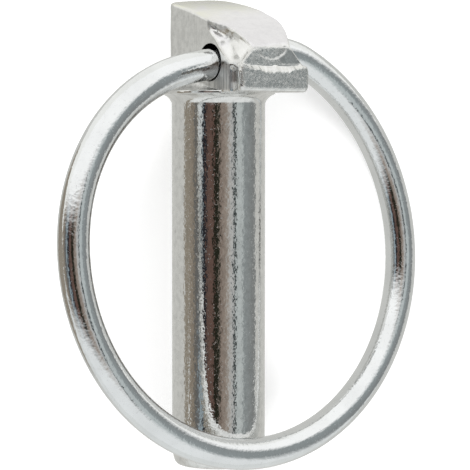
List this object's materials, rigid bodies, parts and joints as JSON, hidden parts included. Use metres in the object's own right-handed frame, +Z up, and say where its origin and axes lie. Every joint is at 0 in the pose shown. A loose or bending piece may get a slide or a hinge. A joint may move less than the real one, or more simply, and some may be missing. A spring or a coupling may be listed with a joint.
{
  "type": "lynch pin",
  "caption": "Lynch pin: plain round shank under a forged, flattened head with a forward nose, and a spring wire ring hinged in a slanted cross hole that closes against the shank near its tip.",
  "frame": {"origin": "on the shank's axis, where its plain length meets the fillet under the head", "axes": "+Y along the pin, from the tip to the head; +Z up, with the pin lying on its back; +X to the side where the ring's rim rests"},
  "size_m": [0.0473, 0.0552, 0.023],
  "materials": {
    "pin": "bright zinc plate, with fine drawing and trimming marks",
    "ring": "bright zinc plate on spring wire"
  },
  "bodies": {
    "pin": {"pin": "pin"},
    "ring": {"ring": "ring"}
  },
  "joints": [
    {"name": "ring_hinge", "type": "hinge", "parent": "pin", "child": "ring", "pos_m": [0.00138, 0.00515, 0.00308], "axis": [-0.8987, -0.1736, 0.4028], "range_deg": [0, 340]}
  ]
}
